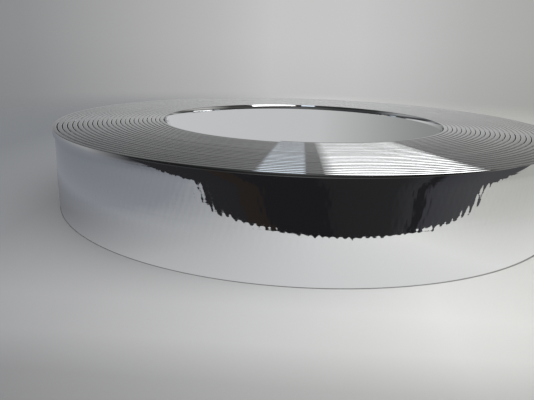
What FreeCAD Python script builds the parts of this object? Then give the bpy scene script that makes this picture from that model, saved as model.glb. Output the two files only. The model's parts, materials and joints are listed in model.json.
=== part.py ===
import FreeCAD, Part
import math
import os

# A coil of aluminium trim cap: one thin strip with a rounded cap along its upper edge, wound into a
# flat ring that lies on its plain edge. Every turn is a ring of the same section, so the whole coil
# is one turned solid. Millimetres, +Z up, origin on the floor under the coil's axis.

# Strip
strip_height = 70.0          # plain edge to the crown of the cap
strip_thickness = 0.7
cap_width = 3.9              # the cap stands out evenly on both faces of the strip
cap_height = 5.0
cap_round = 1.2              # upper corners of the cap
cap_under_round = 0.8        # lower corners of the cap, where they show

# Below the cap the strip leans outwards, straight at first, and its foot turns back in
lean_angle = 2.2             # degrees from upright
lean_end_clear = 4.3         # straight strip between the lower line and the turned foot
foot_offset = 1.0            # plain edge outwards of the strip's top

# Formed lines that run the length of the strip
upper_line_clear = 0.8       # plain strip between the cap and the upper line
lower_line_height = 35.5     # above the plain edge
line_depth = 0.1             # how far a line is pressed in from the outer face
line_half_width = 1.2

# Coil
turn_count = 25
bore_radius = 135.0          # clear hole inside the first turn's cap
cap_gap = 0.2                # groove between neighbouring caps
cap_gap_depth = 3.6          # below it the caps touch

turn_pitch = cap_width + cap_gap
cap_base = strip_height - cap_height
cap_overhang = (cap_width - strip_thickness) / 2
lean_slope = math.tan(math.radians(lean_angle))
line_heights = [lower_line_height, cap_base - upper_line_clear - line_half_width]
lean_end_height = lower_line_height - line_half_width - lean_end_clear


def at(radius, height):
    return FreeCAD.Vector(radius, 0, height)


def cap_inner(turn):
    return bore_radius + turn * turn_pitch


def cap_outer(turn):
    return cap_inner(turn) + cap_width


def lean(height):
    """How far outwards the strip stands at a height, from its place under the cap."""
    if height >= lean_end_height:
        return (cap_base - height) * lean_slope
    drop = lean_end_height - height
    straight_foot = cap_base * lean_slope
    return (cap_base - height) * lean_slope - (straight_foot - foot_offset) * (drop / lean_end_height) ** 2


class Section:
    """One closed outline in the plane of radius and height, drawn as a single stroke."""

    def __init__(self, radius, height):
        self.pen = at(radius, height)
        self.edges = []

    def line(self, radius, height):
        point = at(radius, height)
        self.edges.append(Part.LineSegment(self.pen, point).toShape())
        self.pen = point

    def arc(self, middle, end):
        self.edges.append(Part.Arc(self.pen, middle, end).toShape())
        self.pen = end

    def corner(self, centre_radius, centre_height, size, start, end):
        """A round from direction start to direction end, in degrees, with a straight run up to it."""
        places = []
        for angle in (start, (start + end) / 2, end):
            turn = math.radians(angle)
            places.append(at(centre_radius + size * math.cos(turn), centre_height + size * math.sin(turn)))
        if self.pen.distanceToPoint(places[0]) > 1e-9:
            self.line(places[0].x, places[0].z)
        self.arc(places[1], places[2])

    def face(self):
        return Part.Face(Part.Wire(self.edges))


def draw_caps(section):
    """The row of rounded caps along the top, from the bore outwards."""
    corner_height = strip_height - cap_round
    for turn in range(turn_count):
        inner = cap_inner(turn)
        outer = cap_outer(turn)
        if turn > 0:
            section.line(inner, strip_height - cap_gap_depth)
        section.corner(inner + cap_round, corner_height, cap_round, 180, 90)
        section.corner(outer - cap_round, corner_height, cap_round, 90, 0)
        if turn < turn_count - 1:
            section.line(outer, strip_height - cap_gap_depth)


def draw_outer_face(section, top):
    """The outer face of one turn, from its top radius down to the plain edge."""
    section.line(top, cap_base)
    for height in reversed(line_heights):
        for z in (height + line_half_width, height, height - line_half_width):
            pressed = line_depth if z == height else 0
            section.line(top + lean(z) - pressed, z)
    section.line(top + lean(lean_end_height), lean_end_height)
    section.arc(at(top + lean(lean_end_height / 2), lean_end_height / 2), at(top + foot_offset, 0))


def draw_inner_face(section, top):
    """The inner face of one turn, from the plain edge up to its top radius."""
    section.line(top + foot_offset, 0)
    section.arc(at(top + lean(lean_end_height / 2), lean_end_height / 2),
                at(top + lean(lean_end_height), lean_end_height))
    for height in line_heights:
        for z in (height - line_half_width, height, height + line_half_width):
            pressed = line_depth if z == height else 0
            section.line(top + lean(z) - pressed, z)
    section.line(top, cap_base)


def make_trim_coil():
    under_height = cap_base + cap_under_round
    inside = cap_inner(0)
    outside = cap_outer(turn_count - 1)
    section = Section(inside, under_height)
    draw_caps(section)
    section.corner(outside - cap_under_round, under_height, cap_under_round, 0, -90)
    for turn in reversed(range(turn_count)):
        top = cap_outer(turn) - cap_overhang
        draw_outer_face(section, top)
        draw_inner_face(section, top - strip_thickness)
    section.corner(inside + cap_under_round, under_height, cap_under_round, 270, 180)
    return section.face().revolve(FreeCAD.Vector(0, 0, 0), FreeCAD.Vector(0, 0, 1), 360)


os.makedirs("parts", exist_ok=True)
trim_coil = make_trim_coil()
trim_coil.exportStep("parts/trim_coil.step")
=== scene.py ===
import json
import math
import bpy
from mathutils import Matrix, Vector, noise


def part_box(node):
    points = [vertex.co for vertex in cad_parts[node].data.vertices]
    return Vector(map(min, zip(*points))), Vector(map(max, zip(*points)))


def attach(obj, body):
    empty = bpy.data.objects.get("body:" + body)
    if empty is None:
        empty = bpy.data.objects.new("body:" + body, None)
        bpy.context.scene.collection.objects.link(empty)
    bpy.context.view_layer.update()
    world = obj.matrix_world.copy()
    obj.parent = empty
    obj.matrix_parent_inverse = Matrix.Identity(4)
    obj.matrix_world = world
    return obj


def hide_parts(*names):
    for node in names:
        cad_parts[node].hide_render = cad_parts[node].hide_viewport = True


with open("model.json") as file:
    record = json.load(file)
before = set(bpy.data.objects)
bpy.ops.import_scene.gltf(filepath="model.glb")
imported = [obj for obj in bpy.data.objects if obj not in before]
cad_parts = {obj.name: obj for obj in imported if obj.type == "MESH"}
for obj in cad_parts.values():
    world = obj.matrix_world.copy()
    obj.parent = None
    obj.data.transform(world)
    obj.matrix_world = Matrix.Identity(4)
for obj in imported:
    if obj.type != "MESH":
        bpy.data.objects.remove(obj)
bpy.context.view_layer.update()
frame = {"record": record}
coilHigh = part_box("trim_coil")[1]
coilRadius = coilHigh.x
coilHeight = coilHigh.z
boreMount = next(m for m in frame["record"]["mounts"] if m["name"] == "bore")
boreRadius = boreMount["dims"]["r_mm"] / 1000
near = 1e-6                  # closer than this counts as the same place
print("frame loaded, coil radius", round(coilRadius, 4), "bore", boreRadius)

# The strip is one length wound from the bore outwards. Metres and degrees.
stripSet = {
    "turns": 24.54,
    "outerEnd": 98,          # where the outer end lies, at the back
    "edgeClear": 0.0004,     # kept free inside the outline
    "thickness": 0.0007,
    "capBase": 0.0646,
    "capWidth": 0.0039,
    "capTopWidth": 0.0033,   # its sides draw in towards the crown
    "crown": 0.0697,         # height of the cap's top
    "crownHold": 0.00012,    # flat of the crown ends this near to its corners
    "capRound": 0.00045,     # of its upper corners
    "capSteps": 4,           # round each of them
    # how far the outer face looks up, by height, from the plain edge to the cap
    "wallTilts": (
        (0.0000, -2.0), (0.0080, -0.9), (0.0160, 0.1), (0.0240, 0.9), (0.0282, 1.25), (0.0298, 1.85),
        (0.0325, 1.8), (0.0341, 2.05), (0.0348, 3.1), (0.0356, 2.1), (0.0364, 1.7), (0.0380, 2.45),
        (0.0400, 2.8), (0.0430, 2.65), (0.0460, 2.4), (0.0495, 1.95), (0.0530, 1.4), (0.0570, 0.1),
        (0.0598, -0.3), (0.0614, 2.6), (0.0626, 1.9), (0.0636, 3.2), (0.0646, 3.0),
    ),
    "innerHeights": (0.0, 0.0240, 0.0348, 0.0430, 0.0530, 0.0646),  # enough for the inner face
    "ringsPerTurn": 82,
    "outerTurns": 1.54,      # wound with finer steps
    "outerRings": 370,
    "looser": 0.018,         # growth of the step between turns towards the outside
    "loose": 0.00012,        # sideways wander of a turn
    "lift": 0.00006,         # up and down wander of a turn
    "capTurn": 0.5,          # wander of a cap's top, degrees
    # each wander's scale, its start in the noise along x and z, and its step from turn to turn
    "looseNoise": (1.0, 0, 0, 1.7),
    "liftNoise": (0.7, 0, 9, 2.3),
    "capNoise": (0.8, 3, 0, 3.1),
    "trueTurns": 1.1,        # the outermost turns, which don't wander sideways
    "joinWithin": 0.000002,
    "smoothBelow": 32,       # degrees
}

pathFirst = boreRadius + stripSet["capWidth"] / 2
pathLast = coilRadius - stripSet["edgeClear"] - stripSet["capWidth"] / 2
pitch = (pathLast - pathFirst) / stripSet["turns"]
# the outermost turn, taken as a circle of its own, lies a little to the right of the axis
outerMiddle = pitch / math.pi
outerMean = coilRadius - pitch / 2


def pathRadius(turn):
    # tight inside and a little looser outside
    share = turn / stripSet["turns"]
    return pathFirst + pitch * (turn + stripSet["looser"] * turn * (share * share - 1))


cameraSet = {
    "lens": 32.34,           # mm
    "sensor": 36,            # mm
    "nearest": 0.01,
    "distance": 2.0926,      # from the middle of the outer turn, in its mean radii
    "height": 0.5615,        # above the floor, in the same radii
    "panLeft": 4.11,         # degrees
    "tiltDown": 16.96,
    "roll": 1.48,
}


def makeCamera():
    s = cameraSet
    bpy.ops.object.camera_add(location=(outerMiddle, -s["distance"] * outerMean, s["height"] * outerMean))
    cam = bpy.context.object
    cam.name = "view_camera"
    cam.data.lens = s["lens"]
    cam.data.sensor_width = s["sensor"]
    cam.data.clip_start = s["nearest"]
    pan = Matrix.Rotation(math.radians(s["panLeft"]), 3, "Z")
    tilt = Matrix.Rotation(math.radians(90 - s["tiltDown"]), 3, "X")
    roll = Matrix.Rotation(math.radians(s["roll"]), 3, "Z")
    cam.rotation_euler = (pan @ tilt @ roll).to_euler()
    bpy.context.scene.camera = cam
    return cam


camera = makeCamera()
eye = Vector(camera.location)
print("camera placed")


def newMaterial(name):
    mat = bpy.data.materials.new(name)
    mat.use_nodes = True
    mat.node_tree.nodes.clear()
    return mat, mat.node_tree.nodes, mat.node_tree.links


def addNode(nodes, kind, **values):
    node = nodes.new(kind)
    for key, value in values.items():
        setattr(node, key, value)
    return node


def mathNode(nodes, links, how, a, b=None):
    node = addNode(nodes, "ShaderNodeMath", operation=how)
    for socket, value in zip(node.inputs, (a, b)):
        if value is None:
            continue
        if isinstance(value, (int, float)):
            socket.default_value = value
        else:
            links.new(value, socket)
    return node.outputs[0]


def ramp(nodes, links, value, low, high, stops):
    # stops are (value, shade) pairs between low and high; beyond them the end shades go on
    spread = addNode(nodes, "ShaderNodeMapRange")
    spread.inputs["From Min"].default_value = low
    spread.inputs["From Max"].default_value = high
    links.new(value, spread.inputs[0])
    node = addNode(nodes, "ShaderNodeValToRGB")
    bar = node.color_ramp.elements
    while len(bar) < len(stops):
        bar.new(0.5)
    for element, (place, shade) in zip(bar, stops):
        element.position = (place - low) / (high - low)
        element.color = (*shade, 1) if isinstance(shade, tuple) else (shade, shade, shade, 1)
    links.new(spread.outputs[0], node.inputs[0])
    return node.outputs[0]


def multiplied(nodes, links, a, b):
    node = addNode(nodes, "ShaderNodeMix", data_type="RGBA", blend_type="MULTIPLY")
    node.inputs["Factor"].default_value = 1
    for socket, value in zip((node.inputs["A"], node.inputs["B"]), (a, b)):
        links.new(value, socket)
    return node.outputs["Result"]


def addGlow(nodes, links):
    out = addNode(nodes, "ShaderNodeOutputMaterial")
    glow = addNode(nodes, "ShaderNodeEmission")
    links.new(glow.outputs[0], out.inputs[0])
    return glow


def addBump(nodes, links, height, depth):
    bump = addNode(nodes, "ShaderNodeBump")
    bump.inputs["Strength"].default_value = 1.0
    bump.inputs["Distance"].default_value = depth
    links.new(height, bump.inputs["Height"])
    return bump


def coordinates(nodes, links, kind="Object"):
    place = addNode(nodes, "ShaderNodeTexCoord")
    split = addNode(nodes, "ShaderNodeSeparateXYZ")
    links.new(place.outputs[kind], split.inputs[0])
    return split.outputs


def deselectAll():
    if bpy.context.object and bpy.context.object.mode != "OBJECT":
        bpy.ops.object.mode_set(mode="OBJECT")
    bpy.ops.object.select_all(action="DESELECT")


def makeActive(obj):
    deselectAll()
    obj.select_set(True)
    bpy.context.view_layer.objects.active = obj


def selectVerts(obj, test):
    # leaves edit mode on, with only the matching corners selected
    bpy.ops.object.mode_set(mode="EDIT")
    bpy.ops.mesh.select_mode(type="VERT")
    bpy.ops.mesh.select_all(action="DESELECT")
    bpy.ops.object.mode_set(mode="OBJECT")
    for v in obj.data.vertices:
        v.select = test(v.co)
    bpy.ops.object.mode_set(mode="EDIT")


def wallOffset(height):
    # how far outwards the strip stands at a height, from its place under the cap
    tilts = stripSet["wallTilts"]
    out = 0
    for (low, lowTilt), (high, highTilt) in zip(tilts, tilts[1:]):
        if low >= height - near:
            out += (high - low) * math.tan(math.radians((lowTilt + highTilt) / 2))
    return out


def isInner(co):
    # below the cap, on the side towards the bore
    s = stripSet
    return co.z < s["capBase"] - near and co.x < pathFirst + wallOffset(co.z) - s["thickness"] / 4


def makeSection():
    # the outline of the strip, standing at the bore with its faces towards and away from the axis
    s = stripSet
    heights = [height for height, tilt in s["wallTilts"]]
    first = heights[1]
    bpy.ops.mesh.primitive_plane_add(size=1, location=(pathFirst + wallOffset(0), 0, first / 2),
                                     rotation=(math.pi / 2, 0, 0))
    section = bpy.context.object
    section.name = "wound_strip"
    section.scale = (s["thickness"], first, 1)
    bpy.ops.object.transform_apply(location=True, rotation=True, scale=True)
    # the first step of the ladder follows the foot's lean
    selectVerts(section, lambda co: co.z > first / 2)
    bpy.ops.transform.translate(value=(wallOffset(first) - wallOffset(0), 0, 0))
    for low, high in zip(heights[1:], heights[2:]):
        step = (wallOffset(high) - wallOffset(low), 0, high - low)
        bpy.ops.mesh.extrude_region_move(TRANSFORM_OT_translate={"value": step})
    # the cap: out to its width, then up to its crown
    base = (pathFirst, 0, s["capBase"])
    crown = (pathFirst, 0, s["crown"])
    bpy.ops.mesh.extrude_region_move(TRANSFORM_OT_translate={"value": (0, 0, 0)})
    bpy.ops.transform.resize(value=(s["capWidth"] / s["thickness"], 1, 1), center_override=base)
    bpy.ops.mesh.extrude_region_move(TRANSFORM_OT_translate={"value": (0, 0, s["crown"] - s["capBase"])})
    bpy.ops.transform.resize(value=(s["capTopWidth"] / s["capWidth"], 1, 1), center_override=crown)
    # one outline without inner steps
    bpy.ops.mesh.select_all(action="SELECT")
    bpy.ops.mesh.dissolve_faces()
    selectVerts(section, lambda co: co.z > s["crown"] - near)
    bpy.ops.mesh.bevel(affect="VERTICES", offset=s["capRound"], segments=s["capSteps"])
    # two points a third of the way out, moved on towards the corners, hold the crown flat
    flat = s["capTopWidth"] / 2 - s["capRound"]
    selectVerts(section, lambda co: co.z > s["crown"] - near)
    bpy.ops.mesh.subdivide(number_cuts=2)
    selectVerts(section, lambda co: co.z > s["crown"] - near and abs(co.x - pathFirst) < flat / 2)
    bpy.ops.transform.resize(value=(3 * (1 - s["crownHold"] / flat), 1, 1), center_override=crown)
    # the inner face needs fewer steps
    selectVerts(section, lambda co: isInner(co) and min(abs(co.z - kept) for kept in s["innerHeights"]) > near)
    bpy.ops.mesh.dissolve_verts()
    bpy.ops.mesh.select_all(action="SELECT")
    bpy.ops.mesh.delete(type="ONLY_FACE")
    bpy.ops.object.mode_set(mode="OBJECT")
    print("section drawn:", len(section.data.vertices), "corners")
    return section


def spinSection(section, rings, turns):
    bpy.ops.object.mode_set(mode="EDIT")
    bpy.ops.mesh.select_all(action="SELECT")
    bpy.ops.mesh.spin(steps=rings, angle=turns * 2 * math.pi, center=(0, 0, 0), axis=(0, 0, 1),
                      use_auto_merge=False)
    bpy.ops.object.mode_set(mode="OBJECT")


def wandered(kind, around, turn):
    scale, startX, startZ, step = stripSet[kind]
    return noise.noise(around * scale + Vector((startX, 0, startZ + turn * step)))


def windOut(obj, corners, rings, ringsPerTurn, firstTurn):
    # moves each ring of corners out to its place on the spiral
    s = stripSet
    start = math.radians(s["outerEnd"]) - s["turns"] * 2 * math.pi
    for index, v in enumerate(obj.data.vertices):
        copy, place = divmod(index, corners * (rings + 1))
        turn = firstTurn + copy + place // corners / ringsPerTurn
        angle = start + turn * 2 * math.pi
        around = Vector((math.cos(angle), math.sin(angle), 0))
        inwards = min(1, max(0, s["turns"] - turn - s["trueTurns"]))
        wander = wandered("looseNoise", around, turn) * inwards * min(1, turn)
        rise = wandered("liftNoise", around, turn)
        turned = wandered("capNoise", around, turn) * math.radians(s["capTurn"]) * inwards
        side = math.hypot(v.co.x, v.co.y) - pathFirst
        height = v.co.z
        if height > s["capBase"] + near:
            height -= side * turned
            side += (v.co.z - s["capBase"]) * turned
        radius = pathRadius(turn) + s["loose"] * wander + side
        v.co = around * radius + Vector((0, 0, height + s["lift"] * (1 + rise)))


def makeStrip():
    s = stripSet
    makeActive(makeSection())
    outer = bpy.context.object
    corners = len(outer.data.vertices)
    bpy.ops.object.duplicate()
    inner = bpy.context.object
    innerTurns = round(s["turns"] - s["outerTurns"])
    spinSection(inner, s["ringsPerTurn"], 1)
    rows = inner.modifiers.new("turns", "ARRAY")
    rows.count = innerTurns
    rows.use_relative_offset = False
    rows.use_constant_offset = False
    bpy.ops.object.modifier_apply(modifier=rows.name)
    windOut(inner, corners, s["ringsPerTurn"], s["ringsPerTurn"], 0)
    makeActive(outer)
    spinSection(outer, s["outerRings"], s["outerTurns"])
    windOut(outer, corners, s["outerRings"], s["outerRings"] / s["outerTurns"], innerTurns)
    # both runs become one length
    inner.select_set(True)
    bpy.ops.object.join()
    bpy.ops.object.mode_set(mode="EDIT")
    bpy.ops.mesh.select_all(action="SELECT")
    bpy.ops.mesh.remove_doubles(threshold=s["joinWithin"])
    bpy.ops.mesh.fill_holes(sides=0)
    bpy.ops.mesh.select_all(action="SELECT")
    bpy.ops.mesh.normals_make_consistent(inside=False)
    bpy.ops.object.mode_set(mode="OBJECT")
    bpy.ops.object.shade_smooth_by_angle(angle=math.radians(s["smoothBelow"]))
    low = [round(min(v.co[k] for v in outer.data.vertices), 6) for k in range(3)]
    high = [round(max(v.co[k] for v in outer.data.vertices), 6) for k in range(3)]
    print("strip wound:", len(outer.data.polygons), "faces, from", low, "to", high)
    return outer


metalSet = {
    "colour": (0.86, 0.87, 0.88),
    "roughness": 0.03,
    "rippleScale": 240,      # along the strip
    "rippleStretch": 0.28,   # upright ripples are this much as dense up as along
    "rippleDepth": 0.00010,
    "rippleDetail": 1.5,
    "combStep": 0.0044,      # regular marks of the forming rolls: their step along the strip
    "combRise": 0.012,       # their length up it
    "combHeight": 0.031,     # and the height where they start
    "combShare": 0.11,       # of the ripple's depth
    "lineScale": 700,        # fine lines left by rolling, across the strip
    "lineStretch": 0.035,
    "lineDepth": 0.000005,
    "lineDetail": 1.0,
    "below": (0.060, 0.067, [(0.0625, 1.0), (0.0655, 0.02)]),    # the cap is stiffer and stays smooth
}


def makeMirror():
    m = metalSet
    mat, nodes, links = newMaterial("mirror_aluminium")
    out = addNode(nodes, "ShaderNodeOutputMaterial")
    shader = addNode(nodes, "ShaderNodeBsdfPrincipled")
    shader.inputs["Base Color"].default_value = (*m["colour"], 1)
    shader.inputs["Metallic"].default_value = 1
    shader.inputs["Roughness"].default_value = m["roughness"]
    links.new(shader.outputs[0], out.inputs[0])
    x, y, z = coordinates(nodes, links)
    # angle round the axis, so that the ripples stand upright on the strip
    along = mathNode(nodes, links, "MULTIPLY", mathNode(nodes, links, "ARCTAN2", y, x), coilRadius)
    joined = addNode(nodes, "ShaderNodeCombineXYZ")
    links.new(along, joined.inputs[0])
    links.new(mathNode(nodes, links, "MULTIPLY", z, m["rippleStretch"]), joined.inputs[1])
    ripple = addNode(nodes, "ShaderNodeTexNoise")
    ripple.inputs["Scale"].default_value = m["rippleScale"]
    ripple.inputs["Detail"].default_value = m["rippleDetail"]
    links.new(joined.outputs[0], ripple.inputs["Vector"])
    across = mathNode(nodes, links, "MULTIPLY", along, 2 * math.pi / m["combStep"])
    upright = mathNode(nodes, links, "SUBTRACT", z, m["combHeight"])
    upright = mathNode(nodes, links, "MULTIPLY", upright, 2 * math.pi / m["combRise"])
    across = mathNode(nodes, links, "SINE", across)
    comb = mathNode(nodes, links, "MULTIPLY", across, mathNode(nodes, links, "SINE", upright))
    comb = mathNode(nodes, links, "MULTIPLY", comb, m["combShare"])
    marks = mathNode(nodes, links, "ADD", ripple.outputs[0], comb)
    below = ramp(nodes, links, z, *m["below"])
    coarse = addBump(nodes, links, mathNode(nodes, links, "MULTIPLY", marks, below), m["rippleDepth"])
    rolled = addNode(nodes, "ShaderNodeCombineXYZ")
    links.new(mathNode(nodes, links, "MULTIPLY", along, m["lineStretch"]), rolled.inputs[0])
    links.new(z, rolled.inputs[1])
    lines = addNode(nodes, "ShaderNodeTexNoise")
    lines.inputs["Scale"].default_value = m["lineScale"]
    lines.inputs["Detail"].default_value = m["lineDetail"]
    links.new(rolled.outputs[0], lines.inputs["Vector"])
    fine = addBump(nodes, links, mathNode(nodes, links, "MULTIPLY", lines.outputs[0], below), m["lineDepth"])
    links.new(coarse.outputs[0], fine.inputs["Normal"])
    links.new(fine.outputs[0], shader.inputs["Normal"])
    return mat


# every ramp below gives its low and high bound, and its stops between them
floorSet = {
    "size": 6.0,
    "height": -0.0001,
    # the pale table with painted light and shade on it: darker and bluer to the left, and darker towards the
    # front
    "across": (-0.5, 0.5, [
        (-0.42, (0.22, 0.23, 0.245)), (-0.22, (0.31, 0.318, 0.330)), (-0.12, (0.48, 0.482, 0.49)),
        (-0.02, (0.70, 0.70, 0.70)), (0.08, (0.86, 0.86, 0.84)), (0.20, (0.68, 0.68, 0.65)),
        (0.45, (0.52, 0.52, 0.49)),
    ]),
    "front": (-0.4, -0.2, [(-0.36, 0.50), (-0.325, 0.62), (-0.295, 0.88), (-0.26, 1.0)]),
    # the same table as the metal shows it: a painted reflection, glowing with painted light and shade for
    # glossy rays only
    "mirrored": (-0.5, 0.5, [
        (-0.45, (0.19, 0.20, 0.225)), (-0.25, (0.25, 0.26, 0.285)), (-0.10, (0.45, 0.455, 0.46)),
        (0.02, (0.66, 0.66, 0.66)), (0.14, (0.79, 0.79, 0.77)), (0.28, (0.58, 0.58, 0.55)),
        (0.50, (0.42, 0.42, 0.39)),
    ]),
    # the floor inside the bore gets less light
    "bore": (0.1, 0.2, [(boreRadius, 0.80), (boreRadius + 0.01, 1.0)]),
    # shade under the outer turn, by distance from its foot
    "contact": (0, 0.002, [(0.0004, 0.35), (0.0010, 1.0)]),
    # and beside it on the left, only in the metal
    "leftShade": (0, 0.1, [(0.000, 0.50), (0.030, 0.72), (0.075, 1.0)]),
    "leftReach": (-0.3, 0.0, [(-0.21, 1.0), (-0.10, 0.0)]),
    "fade": (0.45, 1.3),     # the table ends softly between these distances
}


def makeFloor():
    s = floorSet
    bpy.ops.mesh.primitive_plane_add(size=s["size"], location=(0, 0, s["height"]))
    floor = bpy.context.object
    floor.name = "stage_floor"
    mat, nodes, links = newMaterial("stage_floor")
    out = addNode(nodes, "ShaderNodeOutputMaterial")
    x, y = coordinates(nodes, links)[:2]
    # distance from the middle of the outer turn
    place = addNode(nodes, "ShaderNodeTexCoord")
    away = addNode(nodes, "ShaderNodeVectorMath", operation="DISTANCE")
    away.inputs[1].default_value = (outerMiddle, 0, 0)
    links.new(place.outputs["Object"], away.inputs[0])
    foot = pathLast - pitch / 2 + stripSet["thickness"] / 2 + wallOffset(0)
    beside = mathNode(nodes, links, "SUBTRACT", away.outputs["Value"], foot)
    left = addNode(nodes, "ShaderNodeMix", data_type="RGBA")
    links.new(ramp(nodes, links, x, *s["leftReach"]), left.inputs["Factor"])
    left.inputs["A"].default_value = (1, 1, 1, 1)
    links.new(ramp(nodes, links, beside, *s["leftShade"]), left.inputs["B"])
    shade = addNode(nodes, "ShaderNodeBsdfDiffuse")
    # painted light and shade across and along the table, then the painted contact shadow and the painted shade
    # in the bore
    tone = ramp(nodes, links, x, *s["across"])
    tone = multiplied(nodes, links, tone, ramp(nodes, links, y, *s["front"]))
    tone = multiplied(nodes, links, tone, ramp(nodes, links, beside, *s["contact"]))
    tone = multiplied(nodes, links, tone, ramp(nodes, links, away.outputs["Value"], *s["bore"]))
    links.new(tone, shade.inputs["Color"])
    # for glossy rays the table glows with its painted tone: a painted reflection, with the painted shade
    # beside the coil on the left
    shown = addNode(nodes, "ShaderNodeEmission")
    seen = ramp(nodes, links, x, *s["mirrored"])
    links.new(multiplied(nodes, links, seen, left.outputs["Result"]), shown.inputs["Color"])
    light = addNode(nodes, "ShaderNodeLightPath")
    table = addNode(nodes, "ShaderNodeMixShader")
    links.new(light.outputs["Is Glossy Ray"], table.inputs[0])
    links.new(shade.outputs[0], table.inputs[1])
    links.new(shown.outputs[0], table.inputs[2])
    # the table fades into the background away from the coil
    fade = addNode(nodes, "ShaderNodeMapRange", interpolation_type="SMOOTHSTEP")
    fade.inputs["From Min"].default_value, fade.inputs["From Max"].default_value = s["fade"]
    links.new(away.outputs["Value"], fade.inputs[0])
    clear = addNode(nodes, "ShaderNodeBsdfTransparent")
    mix = addNode(nodes, "ShaderNodeMixShader")
    links.new(fade.outputs[0], mix.inputs[0])
    links.new(table.outputs[0], mix.inputs[1])
    links.new(clear.outputs[0], mix.inputs[2])
    links.new(mix.outputs[0], out.inputs[0])
    floor.data.materials.append(mat)


def glossyOnly(obj):
    # seen in the metal and nowhere else
    obj.visible_camera = False
    obj.visible_diffuse = False
    obj.visible_transmission = False
    obj.visible_volume_scatter = False
    obj.visible_shadow = False


# a painted reflection of the dark room beyond the front edge of the table: a glowing card that only the metal
# shows
roomReflectionSet = {
    "distance": 1.447,       # of the table's edge in front of the axis, in coil radii
    "turn": 13.2,            # degrees from square
    "width": 6.0,
    "depth": 3.0,
    "height": 0.0004,
    "from": (0.04, -0.235),  # on the coil, where the directions below start
    "around": (-180, 0, [    # tones by direction, in degrees, from the left to the right
        (-170, (0.022, 0.022, 0.025)), (-131, (0.018, 0.018, 0.020)), (-129, (0.021, 0.0165, 0.014)),
        (-121, (0.020, 0.016, 0.014)), (-119, (0.0125, 0.012, 0.014)), (-86, (0.0125, 0.012, 0.014)),
        (-83, (0.018, 0.017, 0.018)), (-48, (0.021, 0.021, 0.022)), (-38, (0.034, 0.034, 0.036)),
        (-36, (0.015, 0.015, 0.017)), (-33, (0.015, 0.015, 0.017)), (-30, (0.044, 0.044, 0.050)),
        (-10, (0.066, 0.066, 0.070)),
    ]),
}


def makeRoomReflection():
    s = roomReflectionSet
    bpy.ops.mesh.primitive_plane_add(size=1, location=(0, -s["depth"] / 2, 0))
    card = bpy.context.object
    card.name = "stage_painted_room_reflection"
    card.scale = (s["width"], s["depth"], 1)
    bpy.ops.object.transform_apply(location=True, rotation=True, scale=True)
    card.rotation_euler.z = math.radians(s["turn"])
    card.location = (0, -s["distance"] * coilRadius, s["height"])
    bpy.ops.object.transform_apply(location=True, rotation=True, scale=True)
    mat, nodes, links = newMaterial("stage_painted_room_reflection")
    # the card glows with painted dark tones by direction and is seen only in the metal
    glow = addGlow(nodes, links)
    x, y = coordinates(nodes, links)[:2]
    fromX, fromY = s["from"]
    direction = mathNode(nodes, links, "ARCTAN2", mathNode(nodes, links, "SUBTRACT", y, fromY),
                         mathNode(nodes, links, "SUBTRACT", x, fromX))
    direction = mathNode(nodes, links, "MULTIPLY", direction, 180 / math.pi)
    links.new(ramp(nodes, links, direction, *s["around"]), glow.inputs["Color"])
    card.data.materials.append(mat)
    glossyOnly(card)


# a painted reflection for the wall of the bore: a pale glowing card that only the metal shows
boreReflectionSet = {
    "clear": 0.0006,         # from the caps
    "height": 0.0640,
    "sides": 128,
    "across": (-0.15, 0.15, [
        (-0.14, (0.60, 0.60, 0.61)), (0.02, (0.585, 0.585, 0.585)), (0.07, (0.46, 0.465, 0.46)),
        (0.14, (0.25, 0.26, 0.25)),
    ]),
}


def makeBoreReflection():
    s = boreReflectionSet
    bpy.ops.mesh.primitive_cylinder_add(vertices=s["sides"], radius=boreRadius - s["clear"], depth=s["height"],
                                        end_fill_type="NOTHING", location=(0, 0, s["height"] / 2))
    card = bpy.context.object
    card.name = "stage_painted_bore_reflection"
    bpy.ops.object.transform_apply(location=True, rotation=True, scale=True)
    mat, nodes, links = newMaterial("stage_painted_bore_reflection")
    # the card glows with a painted pale tone, darker to the right, seen only in the metal
    glow = addGlow(nodes, links)
    x = coordinates(nodes, links)["X"]
    links.new(ramp(nodes, links, x, *s["across"]), glow.inputs["Color"])
    card.data.materials.append(mat)
    glossyOnly(card)


# painted highlights: glowing panes that only the metal shows, placed where the caps mirror them as a window's
# bright fans
windowSet = {
    # degrees round the coil where the caps show each pane, its tint and its light
    "panes": ((263.4, 270.9, (0.80, 0.90, 1.0), 1.25), (273.5, 298.5, (1.0, 1.0, 1.0), 3.0)),
    "fade": (0, 1, [(0.0, 0.15), (0.09, 1.0), (0.94, 1.0), (1.0, 0.3)]),     # across each pane
    "capTilts": (74, 36),    # outward slopes of a cap that mirror its lower and upper edge
    "reach": 1.3,            # from cap to pane, in coil radii
    "radius": 0.80,          # where on the coil the panes are aimed, in coil radii
    "columns": 8,
    "rows": 6,
}


def mirrorPoint(angle, tilt):
    w = windowSet
    a = math.radians(angle)
    t = math.radians(tilt)
    outward = Vector((math.cos(a), math.sin(a), 0))
    spot = outward * w["radius"] * coilRadius + Vector((0, 0, coilHeight))
    normal = outward * math.sin(t) + Vector((0, 0, math.cos(t)))
    ray = (spot - eye).normalized()
    return spot + ray.reflect(normal) * w["reach"] * coilRadius


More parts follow.
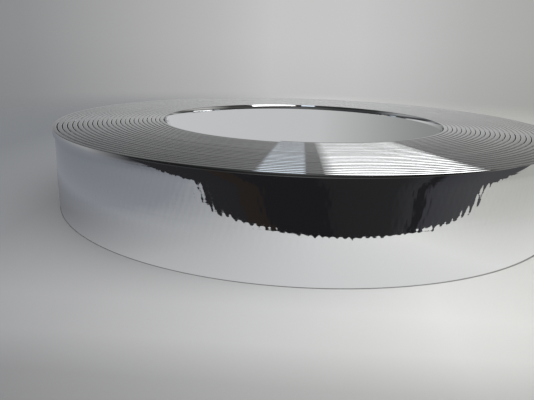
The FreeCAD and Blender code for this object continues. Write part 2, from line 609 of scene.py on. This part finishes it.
def makeWindows():
    w = windowSet
    for index, (left, right, tint, light) in enumerate(w["panes"]):
        bpy.ops.mesh.primitive_grid_add(x_subdivisions=w["columns"], y_subdivisions=w["rows"], size=1)
        pane = bpy.context.object
        pane.name = "stage_window_%d" % index
        low, high = w["capTilts"]
        for v in pane.data.vertices:
            v.co = mirrorPoint(left + (right - left) * (v.co.x + 0.5), low + (high - low) * (v.co.y + 0.5))
        mat, nodes, links = newMaterial(pane.name)
        # each pane glows as a painted highlight, softened at its sides
        glow = addGlow(nodes, links)
        glow.inputs["Color"].default_value = (*tint, 1)
        across = coordinates(nodes, links, "UV")["X"]
        soft = ramp(nodes, links, across, *w["fade"])
        links.new(mathNode(nodes, links, "MULTIPLY", soft, light), glow.inputs["Strength"])
        pane.data.materials.append(mat)
        glossyOnly(pane)


worldSet = {
    "level": 1.0,            # plain light on the floor and the coil
    # the background from left to right, by direction
    "side": (-1, 1, [
        (-0.60, (0.235, 0.240, 0.245)), (-0.50, (0.270, 0.275, 0.280)), (-0.40, (0.340, 0.342, 0.345)),
        (-0.30, (0.405, 0.405, 0.405)), (-0.18, (0.470, 0.470, 0.470)), (-0.07, (0.555, 0.555, 0.555)),
        (0.10, (0.560, 0.560, 0.560)), (0.20, (0.510, 0.510, 0.508)), (0.30, (0.440, 0.440, 0.435)),
        (0.42, (0.390, 0.388, 0.375)), (0.60, (0.34, 0.335, 0.32)),
    ]),
    "low": (-0.5, 0.5, [(-0.10, 0.92), (0.02, 1.0)]),      # a little darker near the table
    # in the metal only, a painted reflection of the room: how bright the same room is by the sine of the
    # elevation, and darker in front of the coil
    "mirrored": 1.4,
    "up": (-0.5, 0.5, [
        (-0.10, 0.90), (-0.01, 0.90), (0.00, 0.22), (0.035, 0.22), (0.060, 0.90), (0.092, 1.0), (0.110, 0.90),
        (0.140, 0.58), (0.175, 0.36), (0.210, 0.25), (0.260, 0.22), (0.50, 0.25),
    ]),
    "front": (-1, 1, [(-0.30, 0.15), (0.00, 0.70), (0.15, 1.0)]),
}


def makeWorld():
    s = worldSet
    world = bpy.data.worlds.new("studio")
    bpy.context.scene.world = world
    world.use_nodes = True
    nodes = world.node_tree.nodes
    links = world.node_tree.links
    nodes.clear()
    out = addNode(nodes, "ShaderNodeOutputWorld")
    x, y, z = coordinates(nodes, links, "Generated")
    side = ramp(nodes, links, x, *s["side"])
    seen = addNode(nodes, "ShaderNodeBackground")
    links.new(multiplied(nodes, links, side, ramp(nodes, links, z, *s["low"])), seen.inputs["Color"])
    room = multiplied(nodes, links, side, ramp(nodes, links, z, *s["up"]))
    room = multiplied(nodes, links, room, ramp(nodes, links, y, *s["front"]))
    shown = addNode(nodes, "ShaderNodeBackground")
    shown.inputs["Strength"].default_value = s["mirrored"]
    links.new(room, shown.inputs["Color"])
    level = addNode(nodes, "ShaderNodeBackground")
    level.inputs["Color"].default_value = (1, 1, 1, 1)
    level.inputs["Strength"].default_value = s["level"]
    light = addNode(nodes, "ShaderNodeLightPath")
    direct = mathNode(nodes, links, "MAXIMUM", light.outputs["Is Camera Ray"],
                      light.outputs["Is Transmission Ray"])
    mix = addNode(nodes, "ShaderNodeMixShader")
    links.new(direct, mix.inputs[0])
    links.new(level.outputs[0], mix.inputs[1])
    links.new(seen.outputs[0], mix.inputs[2])
    # glossy rays see the painted room reflection instead of the plain light
    metal = addNode(nodes, "ShaderNodeMixShader")
    links.new(light.outputs["Is Glossy Ray"], metal.inputs[0])
    links.new(mix.outputs[0], metal.inputs[1])
    links.new(shown.outputs[0], metal.inputs[2])
    links.new(metal.outputs[0], out.inputs[0])


deselectAll()
strip = makeStrip()
strip.data.materials.clear()
strip.data.materials.append(makeMirror())
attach(strip, "root")
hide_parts("trim_coil")
makeFloor()
makeRoomReflection()
makeBoreReflection()
makeWindows()
makeWorld()
print("stage set")

bpy.context.scene.view_settings.view_transform = "Standard"
